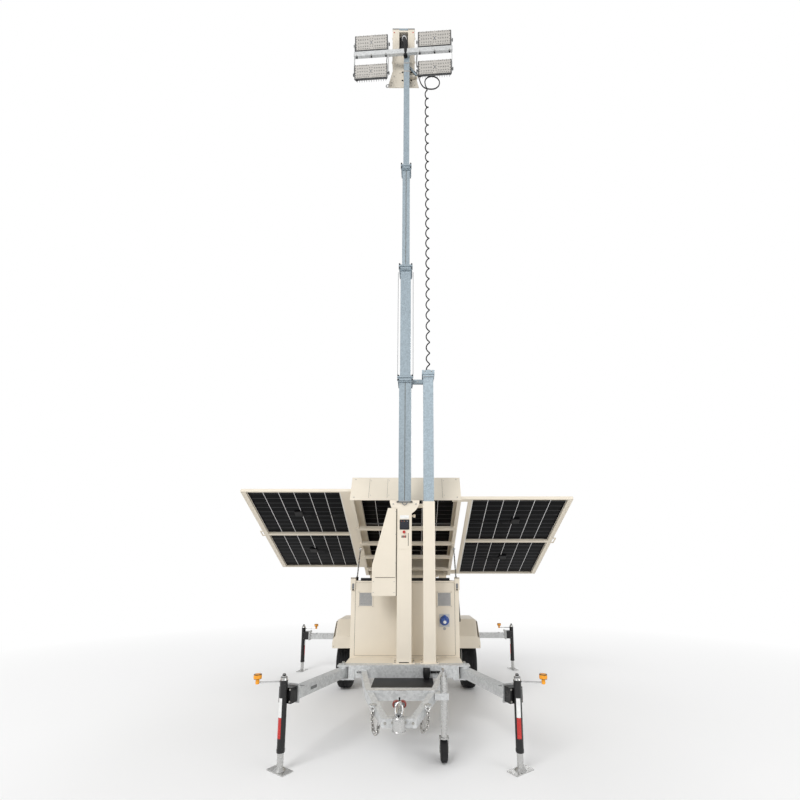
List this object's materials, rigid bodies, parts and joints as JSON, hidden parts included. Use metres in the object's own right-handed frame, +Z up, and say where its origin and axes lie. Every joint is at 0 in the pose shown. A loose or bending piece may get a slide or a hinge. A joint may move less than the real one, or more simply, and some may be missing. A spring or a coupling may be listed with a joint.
{
  "type": "solar light tower",
  "caption": "Trailer light tower with telescopic mast, floodlights, tilting solar deck with drawer wings, battery box and outrigger jacks.",
  "frame": {"origin": "on the ground under the middle of the whole machine", "axes": "+X to the right seen from the drawbar, +Y to the rear, drawbar towards -Y, +Z up"},
  "size_m": [3.996, 3.8313, 8.775],
  "materials": {
    "tyre_rubber": "black tyre rubber",
    "rim_steel": "light grey wheel paint",
    "galvanised": "hot-dip galvanised steel",
    "zinc": "bright zinc plate",
    "cream_paint": "cream powder coat, semi-matt",
    "mast_steel": "blue-grey galvanised tube",
    "black_paint": "black enamel",
    "black_plastic": "black plastic",
    "solar_cells": "solar laminate, dark cells",
    "cord_black": "black cord jacket",
    "lamp_grey": "light grey lamp casting with lens",
    "blue_plastic": "blue inlet plastic",
    "red_plastic": "red lamp lens",
    "battery": "battery cases",
    "jockey_rubber": "solid rubber wheel"
  },
  "bodies": {
    "chassis": {"chassis_frame": "galvanised", "drawbar": "galvanised", "coupling": "zinc", "drawbar_box": "black_plastic", "safety_chains": "zinc", "jockey_tube": "zinc", "axle": "galvanised", "box_shell": "cream_paint", "front_panel": "cream_paint", "power_inlet": "blue_plastic", "battery_block": "battery", "fenders": "cream_paint", "mast_columns": "cream_paint", "winch_cover": "cream_paint", "mast_controls": "black_plastic", "rear_lamps": "red_plastic"},
    "wheel_right": {"tyre_right": "tyre_rubber", "rim_right": "rim_steel"},
    "wheel_left": {"tyre_left": "tyre_rubber", "rim_left": "rim_steel"},
    "jockey_leg": {"jockey_leg": "zinc"},
    "jockey_fork": {"jockey_fork": "zinc"},
    "jockey_wheel": {"jockey_wheel": "jockey_rubber"},
    "rear_door": {"rear_door": "cream_paint"},
    "arm_front_right": {"arm_front_right": "galvanised"},
    "jack_front_right": {"jack_front_right": "black_paint"},
    "leg_front_right": {"leg_front_right": "zinc"},
    "arm_front_left": {"arm_front_left": "galvanised"},
    "jack_front_left": {"jack_front_left": "black_paint"},
    "leg_front_left": {"leg_front_left": "zinc"},
    "arm_rear_right": {"arm_rear_right": "galvanised"},
    "jack_rear_right": {"jack_rear_right": "black_paint"},
    "leg_rear_right": {"leg_rear_right": "zinc"},
    "arm_rear_left": {"arm_rear_left": "galvanised"},
    "jack_rear_left": {"jack_rear_left": "black_paint"},
    "leg_rear_left": {"leg_rear_left": "zinc"},
    "mast_1": {"mast_section_1": "mast_steel", "cable_tube": "mast_steel", "mast_cord": "cord_black"},
    "mast_2": {"mast_section_2": "mast_steel"},
    "mast_3": {"mast_section_3": "mast_steel"},
    "mast_4": {"mast_section_4": "mast_steel", "cord_loop": "cord_black", "head_bracket": "cream_paint", "lamp_bar": "galvanised"},
    "lamp_upper_right": {"lamp_upper_right": "lamp_grey"},
    "lamp_upper_left": {"lamp_upper_left": "lamp_grey"},
    "lamp_lower_right": {"lamp_lower_right": "lamp_grey"},
    "lamp_lower_left": {"lamp_lower_left": "lamp_grey"},
    "deck": {"deck_frame": "cream_paint", "deck_cells": "solar_cells"},
    "wing_right": {"wing_frame_right": "cream_paint", "wing_cells_right": "solar_cells"},
    "strut_barrel_right": {"strut_barrel_right": "black_paint"},
    "strut_rod_right": {"strut_rod_right": "zinc"},
    "wing_left": {"wing_frame_left": "cream_paint", "wing_cells_left": "solar_cells"},
    "strut_barrel_left": {"strut_barrel_left": "black_paint"},
    "strut_rod_left": {"strut_rod_left": "zinc"}
  },
  "joints": [
    {"name": "wheel_right_spin", "type": "hinge", "parent": "chassis", "child": "wheel_right", "pos_m": [0.815, 0.8, 0.325], "axis": [1, 0, 0], "continuous": true},
    {"name": "wheel_left_spin", "type": "hinge", "parent": "chassis", "child": "wheel_left", "pos_m": [-0.815, 0.8, 0.325], "axis": [1, 0, 0], "continuous": true},
    {"name": "jockey_height", "type": "slide", "parent": "chassis", "child": "jockey_leg", "axis": [0, 0, 1], "range_m": [-0.1, 0.1]},
    {"name": "jockey_swivel", "type": "hinge", "parent": "jockey_leg", "child": "jockey_fork", "pos_m": [0.345, -1.424, 0.2], "axis": [0, 0, 1], "continuous": true},
    {"name": "jockey_spin", "type": "hinge", "parent": "jockey_fork", "child": "jockey_wheel", "pos_m": [0.345, -1.384, 0.09], "axis": [1, 0, 0], "continuous": true},
    {"name": "rear_door_hinge", "type": "hinge", "parent": "chassis", "child": "rear_door", "pos_m": [0.563, 1.432, 1], "axis": [0, 0, -1], "range_deg": [0, 95]},
    {"name": "arm_front_right_swing", "type": "hinge", "parent": "chassis", "child": "arm_front_right", "pos_m": [0.6, -0.69, 0.527], "axis": [0, 0, 1], "range_deg": [0, 140]},
    {"name": "jack_front_right_swivel", "type": "hinge", "parent": "arm_front_right", "child": "jack_front_right", "pos_m": [0.91581, -1.53918, 0.54], "axis": [-0.3486, 0.9373, 0], "range_deg": [0, 90]},
    {"name": "leg_front_right_crank", "type": "slide", "parent": "jack_front_right", "child": "leg_front_right", "axis": [0, 0, -1], "range_m": [-0.08, 0.2]},
    {"name": "arm_front_left_swing", "type": "hinge", "parent": "chassis", "child": "arm_front_left", "pos_m": [-0.6, -0.69, 0.527], "axis": [0, 0, -1], "range_deg": [0, 140]},
    {"name": "jack_front_left_swivel", "type": "hinge", "parent": "arm_front_left", "child": "jack_front_left", "pos_m": [-0.91581, -1.53918, 0.54], "axis": [-0.3486, -0.9373, 0], "range_deg": [0, 90]},
    {"name": "leg_front_left_crank", "type": "slide", "parent": "jack_front_left", "child": "leg_front_left", "axis": [0, 0, -1], "range_m": [-0.08, 0.2]},
    {"name": "arm_rear_right_slide", "type": "slide", "parent": "chassis", "child": "arm_rear_right", "axis": [-1, 0, 0], "range_m": [0, 0.75]},
    {"name": "jack_rear_right_swivel", "type": "hinge", "parent": "arm_rear_right", "child": "jack_rear_right", "pos_m": [1.666, 1.829, 0.54], "axis": [1, 0, 0], "range_deg": [0, 90]},
    {"name": "leg_rear_right_crank", "type": "slide", "parent": "jack_rear_right", "child": "leg_rear_right", "axis": [0, 0, -1], "range_m": [-0.08, 0.2]},
    {"name": "arm_rear_left_slide", "type": "slide", "parent": "chassis", "child": "arm_rear_left", "axis": [1, 0, 0], "range_m": [0, 0.75]},
    {"name": "jack_rear_left_swivel", "type": "hinge", "parent": "arm_rear_left", "child": "jack_rear_left", "pos_m": [-1.666, 1.719, 0.54], "axis": [1, 0, 0], "range_deg": [0, 90]},
    {"name": "leg_rear_left_crank", "type": "slide", "parent": "jack_rear_left", "child": "leg_rear_left", "axis": [0, 0, -1], "range_m": [-0.08, 0.2]},
    {"name": "mast_1_lower", "type": "slide", "parent": "chassis", "child": "mast_1", "axis": [0, 0, -1], "range_m": [0, 1.31], "deforming": ["mast_cord"]},
    {"name": "mast_2_lower", "type": "slide", "parent": "mast_1", "child": "mast_2", "axis": [0, 0, -1], "range_m": [0, 1.31]},
    {"name": "mast_3_lower", "type": "slide", "parent": "mast_2", "child": "mast_3", "axis": [0, 0, -1], "range_m": [0, 1.31]},
    {"name": "mast_4_lower", "type": "slide", "parent": "mast_3", "child": "mast_4", "axis": [0, 0, -1], "range_m": [0, 1.31]},
    {"name": "lamp_upper_right_tilt", "type": "hinge", "parent": "mast_4", "child": "lamp_upper_right", "pos_m": [0.36172, -0.67339, 8.328], "axis": [0.9986, -0.0523, 0], "range_deg": [-30, 50]},
    {"name": "lamp_upper_left_tilt", "type": "hinge", "parent": "mast_4", "child": "lamp_upper_left", "pos_m": [-0.45716, -0.63047, 8.328], "axis": [0.9986, -0.0523, 0], "range_deg": [-30, 50]},
    {"name": "lamp_lower_right_tilt", "type": "hinge", "parent": "mast_4", "child": "lamp_lower_right", "pos_m": [0.36172, -0.67339, 7.87], "axis": [0.9986, -0.0523, 0], "range_deg": [-30, 50]},
    {"name": "lamp_lower_left_tilt", "type": "hinge", "parent": "mast_4", "child": "lamp_lower_left", "pos_m": [-0.45716, -0.63047, 7.87], "axis": [0.9986, -0.0523, 0], "range_deg": [-30, 50]},
    {"name": "deck_tilt", "type": "hinge", "parent": "chassis", "child": "deck", "pos_m": [0, 1.4, 1.475], "axis": [1, 0, 0], "range_deg": [0, 27]},
    {"name": "wing_right_slide", "type": "slide", "parent": "deck", "child": "wing_right", "axis": [-1, 0, 0], "range_m": [0, 1.16]},
    {"name": "strut_right_turn", "type": "hinge", "parent": "chassis", "child": "strut_barrel_right", "pos_m": [0.635, 0.05, 0.95], "axis": [1, 0, 0], "range_deg": [-12.78, 0]},
    {"name": "strut_right_slide", "type": "slide", "parent": "strut_barrel_right", "child": "strut_rod_right", "axis": [0, 0.5298, 0.8481], "range_m": [-0.3641, 0]},
    {"name": "wing_left_slide", "type": "slide", "parent": "deck", "child": "wing_left", "axis": [1, 0, 0], "range_m": [0, 1.16]},
    {"name": "strut_left_turn", "type": "hinge", "parent": "chassis", "child": "strut_barrel_left", "pos_m": [-0.635, 0.05, 0.95], "axis": [1, 0, 0], "range_deg": [-12.78, 0]},
    {"name": "strut_left_slide", "type": "slide", "parent": "strut_barrel_left", "child": "strut_rod_left", "axis": [0, 0.5298, 0.8481], "range_m": [-0.3641, 0]}
  ],
  "couplings": [
    {"joint": "mast_2_lower", "follows": "mast_1_lower", "ratio": 1},
    {"joint": "mast_3_lower", "follows": "mast_1_lower", "ratio": 1},
    {"joint": "mast_4_lower", "follows": "mast_1_lower", "ratio": 1},
    {"joint": "strut_right_turn", "follows": "deck_tilt", "ratio": -0.4728},
    {"joint": "strut_right_slide", "follows": "deck_tilt", "m_per_rad": -0.77161},
    {"joint": "strut_left_turn", "follows": "deck_tilt", "ratio": -0.4728},
    {"joint": "strut_left_slide", "follows": "deck_tilt", "m_per_rad": -0.77161}
  ]
}
